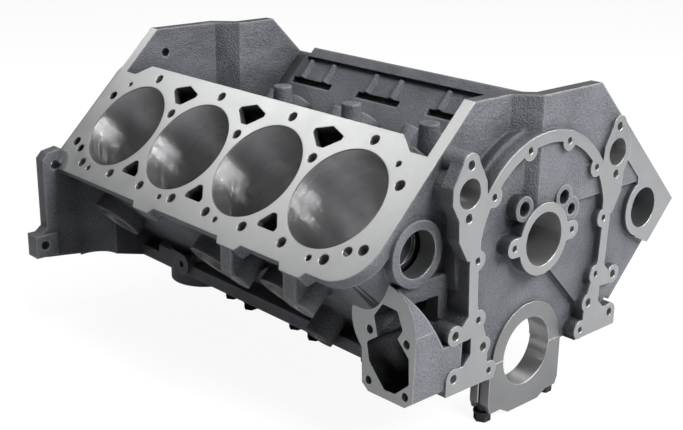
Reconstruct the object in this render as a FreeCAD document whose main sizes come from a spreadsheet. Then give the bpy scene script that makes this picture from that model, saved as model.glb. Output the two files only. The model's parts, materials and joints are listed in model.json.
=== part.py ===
import FreeCAD, Part
import math
import os
import re

import Sketcher
from FreeCAD import Placement, Rotation, Vector

# Bare block of a ninety degree V8 engine, with its five main bearing caps and their bolts.
# +Z is up, +Y runs back along the crankshaft, and +X is the right hand of the picture's front view.
# The origin is on the crankshaft axis, in the machined front face. All sizes are in millimetres.
# side is -1 for the left bank and +1 for the right one. The two banks are one shape, turned half
# round about the vertical, so "along" runs rearward on the left bank and forward on the right one,
# "across" is measured from the bore axes towards the valley, and "depth" goes down from the deck.

LEFT = -1
RIGHT = 1
SIDES = (LEFT, RIGHT)

SIZES = dict(
    # cylinders and decks
    bore=101.6, bore_pitch=111.76, bore_foot=60.0, bore_chamfer=0.8, deck_height=229.2, bank_tilt=45.0,
    bank_stagger=22.35, first_bore=102.3, deck_length=490.5, deck_plate=13.0, deck_roof=11.0,
    deck_outer=72.5, deck_valley=75.5, deck_corner=41.0, notch_across=61.0, notch_foot=33.0,
    notch_head=51.5, tab_reach=6.5, tab_width=25.0, tab_slope=5.0, tab_depth=16.0,
    front_tab=101.5, middle_tab=190.5, rear_tab=329.5,
    # bank walls and water jacket
    outer_wall=66.0, valley_wall=70.0, bank_corner=36.0, bank_depth=152.0, jacket_skin=7.0,
    jacket_end=14.0, jacket_depth=100.0, barrel_skin=6.5, valley_skin=15.0,
    # head bolt, dowel and coolant holes in the decks
    head_bolt=10.6, head_bolt_depth=42.0, head_boss=20.0, valley_row=62.8, middle_row=28.7,
    outer_row=55.7, dowel_hole=9.6, dowel_along=214.1, dowel_across=41.8, steam_hole=6.4,
    steam_row=59.3, edge_hole_along=228.5, edge_hole_across=35.8, valley_hole_along=208.5,
    valley_hole_across=47.3, small_hole_depth=16.0,
    pentagon_half=19.5, pentagon_foot=4.6, pentagon_top=65.0, pentagon_shoulder=57.0,
    pentagon_low=41.2, port_round=2.2, triangle_half=12.6, triangle_apex=32.4, triangle_low=49.5,
    # crankcase
    crank_bore=67.08, rail_half=124.4, rail_drop=3.7, rail_top=9.0, rail_inner=98.0,
    case_half=110.0, case_shoulder=18.0, case_swing=91.0, web_thick=24.0, second_web=150.5,
    rear_web=36.0, rear_web_set=31.22, web_front=11.2, web_boss=46.0, first_web_back=35.0,
    # camshaft tunnel and valley
    cam_height=114.83, cam_bore=51.3, cam_ring=69.0, cam_chamber=31.0, lifter_bore=21.4,
    lifter_spread=39.4, lifter_top=151.0, lifter_foot=96.0, lifter_boss=31.0, lifter_waist=4.0,
    flute_width=9.0, flute_top=16.0, flute_length=26.0, slot_half=34.0, slot_deep=7.0, slot_tall=8.0,
    valley_floor=152.0, gallery=14.0, post_top=195.0, post_tip=20.0, post_foot=27.0,
    # front end
    front_recess=14.0, front_back=36.0, wall_top=248.3, wall_skin=12.6, wall_foot=140.0, wall_step=1.5,
    bend_out=29.5, bend_in=8.0, cover_outer=202.0, cover_inner=180.0, cover_boss=19.0,
    cover_hole=6.6, cover_depth=14.0, pump_hole=8.6, pump_port=27.0, pump_half=105.0,
    pump_port_height=178.4, pump_upper=203.4, pump_lower=156.8, pump_lobe=21.0, pump_ring=42.0,
    plug_hole=41.3, plug_ring=59.0, right_plug_x=161.2, right_plug_z=110.8,
    left_plug_x=144.0, left_plug_z=128.5, left_plug_proud=4.2, face_step=6.0, strip_low=207.0,
    end_outer=73.8, end_skin=16.0,
    # left side pads
    fuel_face=164.0, fuel_hole=8.0, fuel_crown=39.0, fuel_middle=39.5, fuel_height=64.0,
    mount_face=95.5, mount_hole=9.5, mount_boss=30.0, pillar_out=216.8, pillar_half=8.0,
    filter_pad=80.0, filter_out=86.0, filter_back=403.0, filter_drop=17.0, filter_top=20.0,
    linkage_back=389.0, linkage_height=10.0,
    side_plug_face=83.0, side_plug_height=160.0,
    # rear end
    block_length=517.0, flange=15.0, ear_out=245.0, flange_half=228.5, flange_hole=10.0,
    seal_bore=100.0, gusset_out=160.0, gusset_round=29.0,
    # main caps and bolts
    cap_half=51.6, cap_drop=50.5, cap_arch=57.0, cap_thick=22.8, wide_half=84.0, wide_drop=30.0,
    rear_cap_half=62.0, rear_cap_thick=40.0, inner_bolt=46.0, outer_bolt=72.0, bolt_shank=11.1,
    bolt_fit=0.3, bolt_head=14.3, head_height=8.0, bolt_washer=17.6, washer_height=2.0,
    inner_grip=42.0, outer_grip=34.0,
)

PARTS_FOLDER = "parts"
doc = FreeCAD.newDocument("EngineBlock")
sheet = doc.addObject("Spreadsheet::Sheet", "Sizes")
for row, (alias, value) in enumerate(SIZES.items(), start=1):
    sheet.set(f"A{row}", alias)
    sheet.set(f"B{row}", str(value))
    sheet.setAlias(f"B{row}", alias)
doc.recompute()

ALIAS = re.compile(r"\b(" + "|".join(sorted(SIZES, key=len, reverse=True)) + r")\b")
TILT_SIN = "sin(bank_tilt * 1 deg)"
TILT_COS = "cos(bank_tilt * 1 deg)"
LEFT_MIDDLE = "(first_bore + 1.5 * bore_pitch)"
RIGHT_MIDDLE = f"({LEFT_MIDDLE} - bank_stagger)"
LEFT_FRONT = f"({LEFT_MIDDLE} - deck_length / 2)"
RIGHT_FRONT = f"({RIGHT_MIDDLE} - deck_length / 2)"
# the half turn that carries the left bank onto the right one sends y to TURN - y
TURN = f"({LEFT_MIDDLE} + {RIGHT_MIDDLE})"


def formula(text):
    """An expression in which each size's name is read from the sheet."""
    return ALIAS.sub(r"Sizes.\1", str(text))


def bind(item, **properties):
    """Bind properties of an object to expressions on the sheet's sizes."""
    for name, text in properties.items():
        item.setExpression(name, formula(text))


def place(item, base, rotation=Rotation()):
    """Turn an object and bind its base point to three expressions."""
    item.Placement = Placement(Vector(), rotation)
    for axis, text in zip("xyz", base):
        item.setExpression(f"Placement.Base.{axis}", formula(text))
    return item


def towards(direction):
    """The rotation that sends an object's own Z axis along a direction."""
    return Rotation(Vector(0, 0, 1), Vector(*direction))


def rod(name, diameter, length, base, direction):
    item = doc.addObject("Part::Cylinder", name)
    bind(item, Radius=f"({diameter}) / 2", Height=length)
    return place(item, base, towards(direction))


def cone(name, foot, tip, length, base, direction):
    item = doc.addObject("Part::Cone", name)
    bind(item, Radius1=f"({foot}) / 2", Radius2=f"({tip}) / 2", Height=length)
    return place(item, base, towards(direction))


def box(name, low, high):
    item = doc.addObject("Part::Box", name)
    length, width, height = (f"({top}) - ({bottom})" for bottom, top in zip(low, high))
    bind(item, Length=length, Width=width, Height=height)
    return place(item, low)


def outline(name, points, base=("0", "0", "0"), rotation=Rotation()):
    """A closed sketch of straight edges whose corners are bound to the sheet."""
    sketch = doc.addObject("Sketcher::SketchObject", name)
    total = len(points)
    for index in range(total):
        sketch.addGeometry(Part.LineSegment(Vector(index, 0, 0), Vector(index + 1, 1, 0)), False)
    for index in range(total):
        sketch.addConstraint(Sketcher.Constraint("Coincident", index, 2, (index + 1) % total, 1))
    for index, corner in enumerate(points):
        for kind, text in zip(("DistanceX", "DistanceY"), corner):
            number = sketch.addConstraint(Sketcher.Constraint(kind, index, 1, 1.0))
            sketch.setExpression(f"Constraints[{number}]", formula(text))
    return place(sketch, base, rotation)


def soften(sketch, radius):
    """Round the outward corners of an outline: draw it in, then let it out again with arcs."""
    inner = doc.addObject("Part::Offset2D", sketch.Name + "_inset")
    inner.Source = sketch
    inner.Join = 2
    bind(inner, Value=f"-({radius})")
    outer = doc.addObject("Part::Offset2D", sketch.Name + "_rounded")
    outer.Source = inner
    outer.Join = 0
    bind(outer, Value=radius)
    return outer


def slab(name, profile, length):
    """A closed outline made solid along its own normal."""
    item = doc.addObject("Part::Extrusion", name)
    item.Base = profile
    item.DirMode = "Normal"
    item.Solid = True
    bind(item, LengthFwd=length)
    return item


def fuse(name, items):
    item = doc.addObject("Part::MultiFuse", name)
    item.Shapes = items
    return item


def cut(name, base, tool):
    item = doc.addObject("Part::Cut", name)
    item.Base = base
    item.Tool = tool
    return item


def common(name, first, second):
    item = doc.addObject("Part::MultiCommon", name)
    item.Shapes = [first, second]
    return item


def side_name(side):
    return "left" if side == LEFT else "right"


def mirror(points, side):
    """Points given for the right half of the front view, for either side."""
    return [(f"{side} * ({x})", z) for x, z in points]


# Frames
SINE = math.sin(math.radians(SIZES["bank_tilt"]))
COSINE = math.cos(math.radians(SIZES["bank_tilt"]))
UPRIGHT = Rotation(Vector(1, 0, 0), Vector(0, 0, 1), Vector(0, -1, 0), "XYZ")
FACING_LEFT = Rotation(Vector(0, 1, 0), Vector(0, 0, 1), Vector(1, 0, 0), "XYZ")


def down_bore(side):
    return (-side * SINE, 0, -COSINE)


def bank_frame(side):
    """Turns a flat outline so that it lies on a deck and grows down into the bank."""
    return Rotation(Vector(0, -side, 0), Vector(-side * COSINE, 0, SINE), Vector(*down_bore(side)), "XYZ")


def bank_middle(side):
    return LEFT_MIDDLE if side == LEFT else RIGHT_MIDDLE


def on_bank(side, along, across, depth):
    """The point that lies so far along, across and below a deck."""
    height = f"(deck_height - ({depth}))"
    return (f"{side} * ({TILT_SIN} * {height} - {TILT_COS} * ({across}))",
            f"{bank_middle(side)} - {side} * ({along})",
            f"{TILT_COS} * {height} + {TILT_SIN} * ({across})")


def bank_rod(name, side, diameter, along, across, depth, length):
    return rod(name, diameter, length, on_bank(side, along, across, depth), down_bore(side))


def bank_slab(name, side, points, depth, length, rounding=None):
    profile = outline(name + "_outline", points, on_bank(side, "0", "0", depth), bank_frame(side))
    if rounding:
        profile = soften(profile, rounding)
    return slab(name, profile, length)


def cross_slab(name, points, front, back, rounding=None):
    """A plate that faces the front, from an outline in x and z."""
    profile = outline(name + "_outline", points, ("0", back, "0"), UPRIGHT)
    if rounding:
        profile = soften(profile, rounding)
    return slab(name, profile, f"({back}) - ({front})")


def lengthwise_rod(name, diameter, x, z, front, back):
    return rod(name, diameter, f"({back}) - ({front})", (x, front, z), (0, 1, 0))


def bore_along(number):
    """Where bore number 0 to 3 lies along its bank."""
    return f"({number - 1.5}) * bore_pitch"


# Each bank: deck, jacket walls, barrels and the lifter blocks in the valley
def deck(side):
    end = "deck_length / 2"
    corners = [(f"-{end}", "deck_corner - deck_outer"), (f"-{end}", "notch_across"),
               (f"notch_foot - {end}", "notch_across"), (f"notch_head - {end}", "deck_valley"),
               (f"{end} - notch_head", "deck_valley"), (f"{end} - notch_foot", "notch_across"),
               (end, "notch_across"), (end, "-deck_outer"), (f"deck_corner - {end}", "-deck_outer")]
    name = side_name(side)
    return [bank_slab(name + "_deck", side, corners, "0", "deck_plate"),
            bank_rod(name + "_deck_corner", side, "2 * deck_corner", f"deck_corner - {end}",
                     "deck_corner - deck_outer", "0", "deck_plate")]


def bank_body(side):
    end = "(deck_length / 2 - face_step)"
    corners = [(f"-{end}", "bank_corner - outer_wall"), (f"-{end}", "notch_across - 2"),
               (f"notch_foot - {end}", "valley_wall"), (f"{end} - notch_foot", "valley_wall"),
               (end, "notch_across - 2"), (end, "-outer_wall"), (f"bank_corner - {end}", "-outer_wall")]
    name = side_name(side)
    depth = "deck_plate / 2"
    return [bank_slab(name + "_bank", side, corners, depth, "bank_depth"),
            bank_rod(name + "_bank_corner", side, "2 * bank_corner", f"bank_corner - {end}",
                     "bank_corner - outer_wall", depth, "bank_depth")]


def lifter_blocks(side):
    """The lifter housings in the valley: a round boss about each bore, joined in pairs."""
    name = side_name(side)
    across = f"cam_height * {TILT_SIN}"
    depth = "deck_height - lifter_top"
    blocks = []
    for number in range(4):
        start = f"({bore_along(number)} - lifter_spread / 2)"
        stop = f"({bore_along(number)} + lifter_spread / 2)"
        corners = [(start, f"{across} - lifter_boss"), (stop, f"{across} - lifter_boss"),
                   (stop, f"{across} + lifter_boss / 2 - lifter_waist"),
                   (start, f"{across} + lifter_boss / 2 - lifter_waist")]
        blocks.append(bank_slab(f"{name}_lifter_block_{number + 1}", side, corners, depth,
                                "lifter_top - lifter_foot"))
        for place_along in (start, stop):
            blocks.append(bank_rod(f"{name}_lifter_boss_{len(blocks)}", side, "lifter_boss", place_along,
                                   across, depth,
                                   "lifter_top - lifter_foot"))
    return blocks


def pushrod_flutes(side):
    """Half round ridges on the valley wall above each pair of lifters."""
    flutes = []
    for number in range(4):
        for shift in ("-0.5", "0.5"):
            name = f"{side_name(side)}_flute_{len(flutes)}"
            along = f"{bore_along(number)} + {shift} * lifter_spread"
            flutes.append(bank_rod(name, side, "flute_width", along, "valley_wall - 1", "flute_top",
                                   "flute_length"))
    return flutes


def pushrod_slots(side):
    """The slots under the flutes, through which the pushrods pass."""
    slots = []
    for number in range(4):
        start = f"({bore_along(number)} - slot_half)"
        stop = f"({bore_along(number)} + slot_half)"
        corners = [(start, "valley_wall - slot_deep"), (stop, "valley_wall - slot_deep"),
                   (stop, "valley_wall + 9"), (start, "valley_wall + 9")]
        slots.append(bank_slab(f"{side_name(side)}_slot_{number + 1}", side, corners,
                               "flute_top + flute_length - 1",
                               "slot_tall", "3"))
    return slots


def tabs(side):
    items = []
    for name, place_y in (("front", "front_tab"), ("middle", "middle_tab"), ("rear", "rear_tab")):
        centre = f"({place_y} - {LEFT_MIDDLE})"
        half = "(tab_width / 2)"
        corners = [(f"{centre} - {half} - tab_slope", "-deck_outer"),
                   (f"{centre} - {half}", "-deck_outer - tab_reach"),
                   (f"{centre} + {half}", "-deck_outer - tab_reach"),
                   (f"{centre} + {half} + tab_slope", "-deck_outer"),
                   (f"{centre} + {half}", "-outer_wall + 1"),
                   (f"{centre} - {half}", "-outer_wall + 1")]
        items.append(bank_slab(f"{side_name(side)}_{name}_tab", side, corners, "0", "tab_depth"))
    return items


def deck_holes(side):
    """Head bolt, dowel and small holes: the pattern is the same from either end of the bank."""
    name = side_name(side)
    holes = []

    def drill(label, diameter, along, across, depth):
        holes.append(bank_rod(f"{name}_{label}_{len(holes)}", side, diameter, along, across, "-1",
                              f"({depth}) + 1"))

    for number in range(4):
        drill("head_bolt", "head_bolt", bore_along(number), "valley_row", "head_bolt_depth")
        for shift in ("-0.25", "0.25"):
            drill("head_bolt", "head_bolt", f"{bore_along(number)} + {shift} * bore_pitch",
                  "-outer_row", "head_bolt_depth")
    for number in range(5):
        drill("head_bolt", "head_bolt", f"{bore_along(number)} - bore_pitch / 2", "middle_row",
              "head_bolt_depth")
    for end in (-1, 1):
        drill("dowel_hole", "dowel_hole", f"{end} * dowel_along", "-dowel_across", "small_hole_depth")
        drill("edge_hole", "head_bolt", f"{end} * edge_hole_along", "-edge_hole_across",
              "small_hole_depth")
        drill("valley_hole", "steam_hole", f"{end} * valley_hole_along", "valley_hole_across",
              "small_hole_depth")
        drill("steam_hole", "steam_hole", f"{end} * (1.5 * bore_pitch + 11.5)", "-steam_row",
              "small_hole_depth")
        drill("steam_hole", "steam_hole", f"{end} * (0.5 * bore_pitch - 10)", "-steam_row",
              "small_hole_depth")
    return holes


def water_holes(side):
    """The coolant holes between the bores: a pentagon on the valley side and a triangle outside."""
    holes = []
    for number in range(3):
        middle = f"({bore_along(number)} + bore_pitch / 2)"
        pentagon = [(f"{middle} - pentagon_foot", "pentagon_low"),
                    (f"{middle} + pentagon_foot", "pentagon_low"),
                    (f"{middle} + pentagon_half", "pentagon_shoulder - 3"),
                    (f"{middle} + pentagon_half", "pentagon_shoulder + 1"), (middle, "pentagon_top"),
                    (f"{middle} - pentagon_half", "pentagon_shoulder + 1"),
                    (f"{middle} - pentagon_half", "pentagon_shoulder - 3")]
        triangle = [(f"{middle} - triangle_half", "-triangle_low"),
                    (f"{middle} + triangle_half", "-triangle_low"),
                    (f"{middle} + triangle_half", "-triangle_low + 5"), (f"{middle} + 2.5", "-triangle_apex"),
                    (f"{middle} - 2.5", "-triangle_apex"), (f"{middle} - triangle_half", "-triangle_low + 5")]
        for label, corners in (("pentagon", pentagon), ("triangle", triangle)):
            holes.append(bank_slab(f"{side_name(side)}_{label}_{number + 1}", side, corners, "-1",
                                   "deck_roof + 4", "port_round"))
    return holes


def jacket(side):
    """The space for coolant: a pocket under the deck, round the barrels and the bolt bosses."""
    name = side_name(side)
    end = "(deck_length / 2 - jacket_end)"
    outer = "(outer_wall - jacket_skin)"
    inner = "(valley_wall - valley_skin)"
    corner = "(bank_corner - jacket_skin)"
    corners = [(f"-{end}", f"{corner} - {outer}"), (f"-{end}", f"{inner} - 12"), (f"12 - {end}", inner),
               (f"{end} - 12", inner), (end, f"{inner} - 12"), (end, f"{corner} - {outer}"),
               (f"{end} - {corner}", f"-{outer}"), (f"{corner} - {end}", f"-{outer}")]
    pocket = bank_slab(name + "_pocket", side, corners, "deck_roof", "jacket_depth")
    solids = []
    for number in range(4):
        solids.append(bank_rod(f"{name}_barrel_{number + 1}", side, "bore + 2 * barrel_skin",
                               bore_along(number), "0", "0", "deck_roof + jacket_depth + 1"))
        for shift in ("-0.25", "0.25"):
            solids.append(bank_rod(f"{name}_outer_boss_{number + 1}_{shift}", side, "head_boss",
                                   f"{bore_along(number)} + {shift} * bore_pitch", "-outer_row", "0",
                                   "deck_roof + jacket_depth + 1"))
    for number in range(5):
        solids.append(bank_rod(f"{name}_middle_boss_{number + 1}", side, "head_boss",
                               f"{bore_along(number)} - bore_pitch / 2", "middle_row", "0",
                               "deck_roof + jacket_depth + 1"))
    return cut(name + "_jacket", pocket, fuse(name + "_barrels", solids))


def bores(side):
    """Each cylinder bore, with the small chamfer at its mouth."""
    name = side_name(side)
    tools = []
    for number in range(4):
        hole = bank_rod(f"{name}_bore_{number + 1}", side, "bore", bore_along(number), "0", "-1",
                        "deck_height - bore_foot + 1")
        mouth = cone(f"{name}_bore_mouth_{number + 1}", "bore + 4 * bore_chamfer", "bore", "2 * bore_chamfer",
                     on_bank(side, bore_along(number), "0", "-bore_chamfer"), down_bore(side))
        tools += [hole, mouth]
    return tools


def lifter_bores(side):
    across = f"cam_height * {TILT_SIN}"
    holes = []
    for number in range(4):
        for shift in ("-0.5", "0.5"):
            holes.append(bank_rod(f"{side_name(side)}_lifter_bore_{number + 1}_{shift}", side, "lifter_bore",
                                  f"{bore_along(number)} + {shift} * lifter_spread", across,
                                  "deck_height - lifter_top - 1", "lifter_top - lifter_foot + 1"))
    return holes


def bank_solids(side):
    return deck(side) + bank_body(side) + lifter_blocks(side) + tabs(side) + pushrod_flutes(side)


# Crankcase, cam tunnel and valley floor
def crankcase():
    back = "block_length - flange / 2"
    corners = [("-case_half", "-rail_drop"), ("case_half", "-rail_drop"), ("case_half", "case_shoulder"),
               ("56", "valley_floor"), ("-56", "valley_floor"), ("-case_half", "case_shoulder")]
    items = [cross_slab("crankcase_block", corners, "front_recess", back)]
    for side in SIDES:
        rail = mirror([("rail_inner", "-rail_drop"), ("rail_half", "-rail_drop"), ("rail_half", "rail_top"),
                       ("case_half - 4", "case_shoulder"), ("rail_inner", "case_shoulder")], side)
        items.append(cross_slab(f"{side_name(side)}_pan_rail", rail, "1", back))
    return items


def web_middle(number):
    """Centre of main web 2 to 5, counted from the front; the last one keeps its place by the rear flange."""
    return "(block_length - rear_web_set)" if number == 5 else f"(second_web + {number - 2} * bore_pitch)"


def bays():
    """The four spaces between the main webs that the crank throws turn in."""
    edges = [("first_web_back", f"{web_middle(2)} - web_thick / 2")]
    edges += [(f"{web_middle(number)} + web_thick / 2", f"{web_middle(number + 1)} - web_thick / 2")
              for number in (2, 3)]
    edges.append((f"{web_middle(4)} + web_thick / 2", f"{web_middle(5)} - rear_web / 2"))
    items = []
    for number, (front, back) in enumerate(edges, start=1):
        swing = lengthwise_rod(f"swing_{number}", "2 * case_swing", "0", "0", front, back)
        mouth = box(f"mouth_{number}", ("-rail_inner", front, "-rail_drop - 1"), ("rail_inner", back, "24"))
        chamber = lengthwise_rod(f"chamber_{number}", "2 * cam_chamber", "0", "cam_height", front, back)
        items.append(fuse(f"bay_{number}", [swing, mouth, chamber]))
    return items


def posts():
    items = []
    for number in range(3):
        y = f"{LEFT_MIDDLE} - bank_stagger / 2 + {number - 1} * bore_pitch"
        items.append(cone(f"valley_post_{number + 1}", "post_foot", "post_tip", "post_top - valley_floor + 5",
                          ("0", y, "valley_floor - 5"), (0, 0, 1)))
    return items


def roof_prism():
    """Everything below both deck planes and below the top of the end walls."""
    reach = "(deck_height / " + TILT_COS + ")"
    corners = [("-300", "-100"), ("300", "-100"), ("300", f"{reach} - 300 * {TILT_SIN} / {TILT_COS}"),
               (f"({reach} - wall_top) * {TILT_COS} / {TILT_SIN}", "wall_top"),
               (f"-({reach} - wall_top) * {TILT_COS} / {TILT_SIN}", "wall_top"),
               ("-300", f"{reach} - 300 * {TILT_SIN} / {TILT_COS}")]
    return cross_slab("below_decks", corners, "-20", "block_length + 20")


def end_wall(name, turned):
    """The wall that closes the valley at one end, stepped in plan by the banks' stagger."""
    left, right = LEFT_FRONT, f"({RIGHT_FRONT} + wall_step)"
    plan = [("-160", left), ("-bend_out", left), ("-bend_in", right), ("160", right),
            ("160", f"{right} + wall_skin"), ("4 - bend_in", f"{right} + wall_skin"),
            ("4 - bend_out", f"{left} + wall_skin"), ("-160", f"{left} + wall_skin")]
    if turned:
        plan = [(f"-({x})", f"{TURN} - ({y})") for x, y in plan]
    profile = outline(name + "_plan", plan, ("0", "0", "wall_foot"))
    return slab(name, profile, "wall_top - wall_foot + 2")


# Main bearing caps: half width, front face and back face of each, counted from the front
def cap_places():
    places = [("cap_half", "web_front", "web_front + cap_thick")]
    for number in (2, 3, 4):
        centre = web_middle(number)
        places.append(("wide_half", f"{centre} - web_thick / 2", f"{centre} + web_thick / 2"))
    centre = web_middle(5)
    places.append(("rear_cap_half", f"{centre} - rear_cap_thick / 2", f"{centre} + rear_cap_thick / 2"))
    return places


def cap_bolts():
    """Every cap bolt: its name, x, y and the depth of the seat under its head."""
    bolts = []
    for number, (half, front, back) in enumerate(cap_places(), start=1):
        y = f"({front} + {back}) / 2"
        for side in SIDES:
            name = f"main_cap_{number}_{side_name(side)}"
            if half == "wide_half":
                bolts.append((name + "_inner_bolt", f"{side} * inner_bolt", y, "cap_drop", "inner_grip"))
                bolts.append((name + "_outer_bolt", f"{side} * outer_bolt", y, "wide_drop", "outer_grip"))
            else:
                bolts.append((name + "_bolt", f"{side} * inner_bolt", y, "cap_drop", "inner_grip"))
    return bolts


def cap_bolt_holes(owner, low, high):
    return [rod(f"{owner}_{name}_hole", "bolt_shank + bolt_fit", f"({high}) - ({low})", (x, y, low),
                (0, 0, 1))
            for name, x, y, drop, grip in cap_bolts()]


# Front end
COVER_BOLTS = [("27.8", "202.4"), ("73", "169.2"), ("90.7", "115.6"), ("85.8", "59.2"), ("67.8", "5.2")]
MOUNT_BOLTS = [("115", "52.2"), ("77.5", "31.4"), ("115", "11.4")]


def cover_rail():
    """The machined rail that the timing cover seats on: an arch round the camshaft and two legs."""
    ring = cut("cover_arch", lengthwise_rod("cover_arch_outer", "cover_outer", "0", "cam_height", "0",
                                            "front_back"),
               lengthwise_rod("cover_arch_inner", "cover_inner", "0", "cam_height", "-1", "front_back + 1"))
    keep = box("cover_arch_keep", ("-120", "-1", "cam_height - 15"),
               ("120", "front_back", "cam_height + 120"))
    items = [common("cover_arch_top", ring, keep)]
    leg = [("101", "cam_height"), ("99", "66"), ("95", "58"), ("94", "29"), ("103", "20"), ("115", "20"),
           ("rail_half", "11"), ("rail_half", "-rail_drop"), ("60", "-rail_drop"), ("71", "14"),
           ("72", "34"), ("79", "52"), ("84", "64"), ("88", "73"), ("90", "cam_height")]
    arm = [("88", "46"), ("99", "44"), ("110", "44"), ("115", "60"), ("107", "58"), ("99", "66"),
           ("90", "66")]
    for side in SIDES:
        name = side_name(side)
        items.append(cross_slab(name + "_cover_leg", mirror(leg, side), "0", "front_back"))
        items.append(cross_slab(name + "_cover_arm", mirror(arm, side), "0", "front_back"))
        for number, (x, z) in enumerate(COVER_BOLTS):
            items.append(lengthwise_rod(f"{name}_cover_boss_{number + 1}", "cover_boss", f"{side} * {x}", z,
                                        "0", "front_back"))
        for number, (x, z) in enumerate(MOUNT_BOLTS):
            items.append(lengthwise_rod(f"{name}_mount_boss_{number + 1}", "cover_boss", f"{side} * {x}", z,
                                        "0", "front_back"))
    return items


def pump_pad(side):
    """The water pump pad: two bolt lobes and the port between them."""
    name = side_name(side)
    pad = [("96", "pump_upper + 4"), ("84", "186"), ("82", "165"), ("88", "150"), ("88", "118"),
           ("104", "118"),
           ("116", "138"), ("117", "pump_lower"), ("126", "172"), ("126", "186"), ("114", "pump_upper + 4")]
    back = "(front_recess + 12)"
    return [cross_slab(name + "_pump_pad", mirror(pad, side), "0", "14"),
            lengthwise_rod(name + "_pump_lobe", "pump_lobe", f"{side} * pump_half", "pump_upper", "0", back),
            lengthwise_rod(name + "_pump_foot", "pump_lobe", f"{side} * pump_half", "pump_lower", "0", back),
            lengthwise_rod(name + "_pump_neck", "pump_ring", f"{side} * pump_half", "pump_port_height", "0",
                           "front_back + 4")]


def front_plate():
    """The front wall of the crankcase inside the cover rail, with the raised cam and crank bosses."""
    wall = [("-97", "-rail_drop + 3"), ("97", "-rail_drop + 3"), ("97", "cam_height"), ("112", "140"),
            ("112", "190"), ("-112", "190"), ("-112", "140"), ("-97", "cam_height")]
    items = [cross_slab("front_wall", wall, "front_recess", "front_back"),
             lengthwise_rod("front_barrel", "cover_outer + 6", "0", "cam_height", "front_recess",
                            "front_back")]
    items.append(lengthwise_rod("cam_ring", "cam_ring", "0", "cam_height", "0", "front_back"))
    for side in SIDES:
        lug = [("0", "cam_height - 9"), ("42", "cam_height - 9"), ("42", "cam_height + 9"),
               ("0", "cam_height + 9")]
        items.append(cross_slab(f"{side_name(side)}_retainer_lug", mirror(lug, side), "0", "front_back"))
        items.append(lengthwise_rod(f"{side_name(side)}_retainer_end", "18", f"{side} * 41.5", "cam_height",
                                    "0",
                                    "front_back"))
        items.append(lengthwise_rod(f"{side_name(side)}_gallery_boss", "24", f"{side} * 28.5", "148.5", "2",
                                    "front_back"))
    items.append(lengthwise_rod("third_gallery_boss", "24", "40.5", "134.8", "2", "front_back"))
    items.append(lengthwise_rod("crank_boss", "2 * web_boss + 6", "0", "0", "web_front", "front_back"))
    return items


def right_face():
    """The machined strip along the right deck's front edge, with the ring of the core plug."""
    strip = [("70", "deck_height"), ("70", "strip_low"), ("-2", "strip_low"), ("-14", "196"), ("-50", "165"),
             ("-end_outer", "174"), ("-end_outer", "deck_height")]
    corners = [(f"{TILT_SIN} * ({height}) - {TILT_COS} * ({across})",
                f"{TILT_COS} * ({height}) + {TILT_SIN} * ({across})") for across, height in strip]
    wall = [("60", "deck_height"), ("60", "90"), ("-end_outer", "102"), ("-end_outer", "deck_height")]
    plate = [(f"{TILT_SIN} * ({height}) - {TILT_COS} * ({across})",
              f"{TILT_COS} * ({height}) + {TILT_SIN} * ({across})") for across, height in wall]
    face = RIGHT_FRONT
    return [cross_slab("right_front_strip", corners, face, f"{face} + end_skin"),
            cross_slab("right_front_plate", plate, f"{face} + face_step", f"{face} + end_skin"),
            lengthwise_rod("right_plug_ring", "plug_ring", "right_plug_x", "right_plug_z", face,
                           f"{face} + end_skin")]


def fuel_pad():
    """The side pad under the front of the left bank, with its open window."""
    side_view = [("0", "64"), ("2", "3"), ("11", "-4"), ("56", "-5"), ("64", "1"), ("66", "48"), ("77", "54"),
                 ("60", "80"), ("22", "90")]
    front_view = [("-fuel_face", "-5"), ("-105", "-5"), ("-105", "45"), ("-129", "45"),
                  ("-fuel_face - 1", "104"),
                  ("-fuel_face - 1", "-5")]
    deep_view = [("-fuel_face", "-5"), ("-100", "-5"), ("-100", "104"), ("-fuel_face", "104")]
    profile = outline("fuel_pad_side", side_view, ("-fuel_face", "0", "0"), FACING_LEFT)
    crown = rod("fuel_pad_crown", "2 * fuel_crown", "fuel_face - 100",
                ("-fuel_face", "fuel_middle", "fuel_height"), (1, 0, 0))
    boss = fuse("fuel_pad_boss", [slab("fuel_pad_plate", profile, "fuel_face - 100"), crown])
    ahead = cross_slab("fuel_pad_ahead", front_view, "-1", f"{LEFT_FRONT} + 2")
    under = cross_slab("fuel_pad_under", deep_view, LEFT_FRONT, "90")
    return common("fuel_pad", boss, fuse("fuel_pad_limits", [ahead, under]))


FUEL_BOLTS = [("11.3", "55.3"), ("55.7", "54.7"), ("11.3", "6.4"), ("56", "6")]


def fuel_window():
    side_view = [("41", "83"), ("23", "82"), ("16", "66"), ("22", "57"), ("8", "43"), ("7", "19"),
                 ("23", "5"),
                 ("36", "4"), ("56", "25"), ("59", "42"), ("46", "51"), ("51", "69")]
    profile = outline("fuel_window_outline", side_view, ("-fuel_face - 1", "0", "0"), FACING_LEFT)
    return slab("fuel_window", soften(profile, "3"), "fuel_face + 1 - 112")


def side_holes_left():
    """Bolt holes of the fuel pump pad and of the small linkage boss."""
    holes = [rod(f"fuel_pad_hole_{number + 1}", "fuel_hole", "19", ("-fuel_face - 1", y, z), (1, 0, 0))
             for number, (y, z) in enumerate(FUEL_BOLTS)]
    holes.append(rod("linkage_hole", "fuel_hole", "17", ("-131", "linkage_back", "linkage_height"),
                     (1, 0, 0)))
    return holes


def side_boss(name, side, diameter, along, height, face, depth):
    """A round boss whose face looks out and down from a bank's outer wall."""
    outward = (side * COSINE, 0, -SINE)
    base = on_bank(side, along, f"-({face}) + ({depth})", f"deck_height - ({height})")
    return rod(name, diameter, depth, base, outward)


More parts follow.
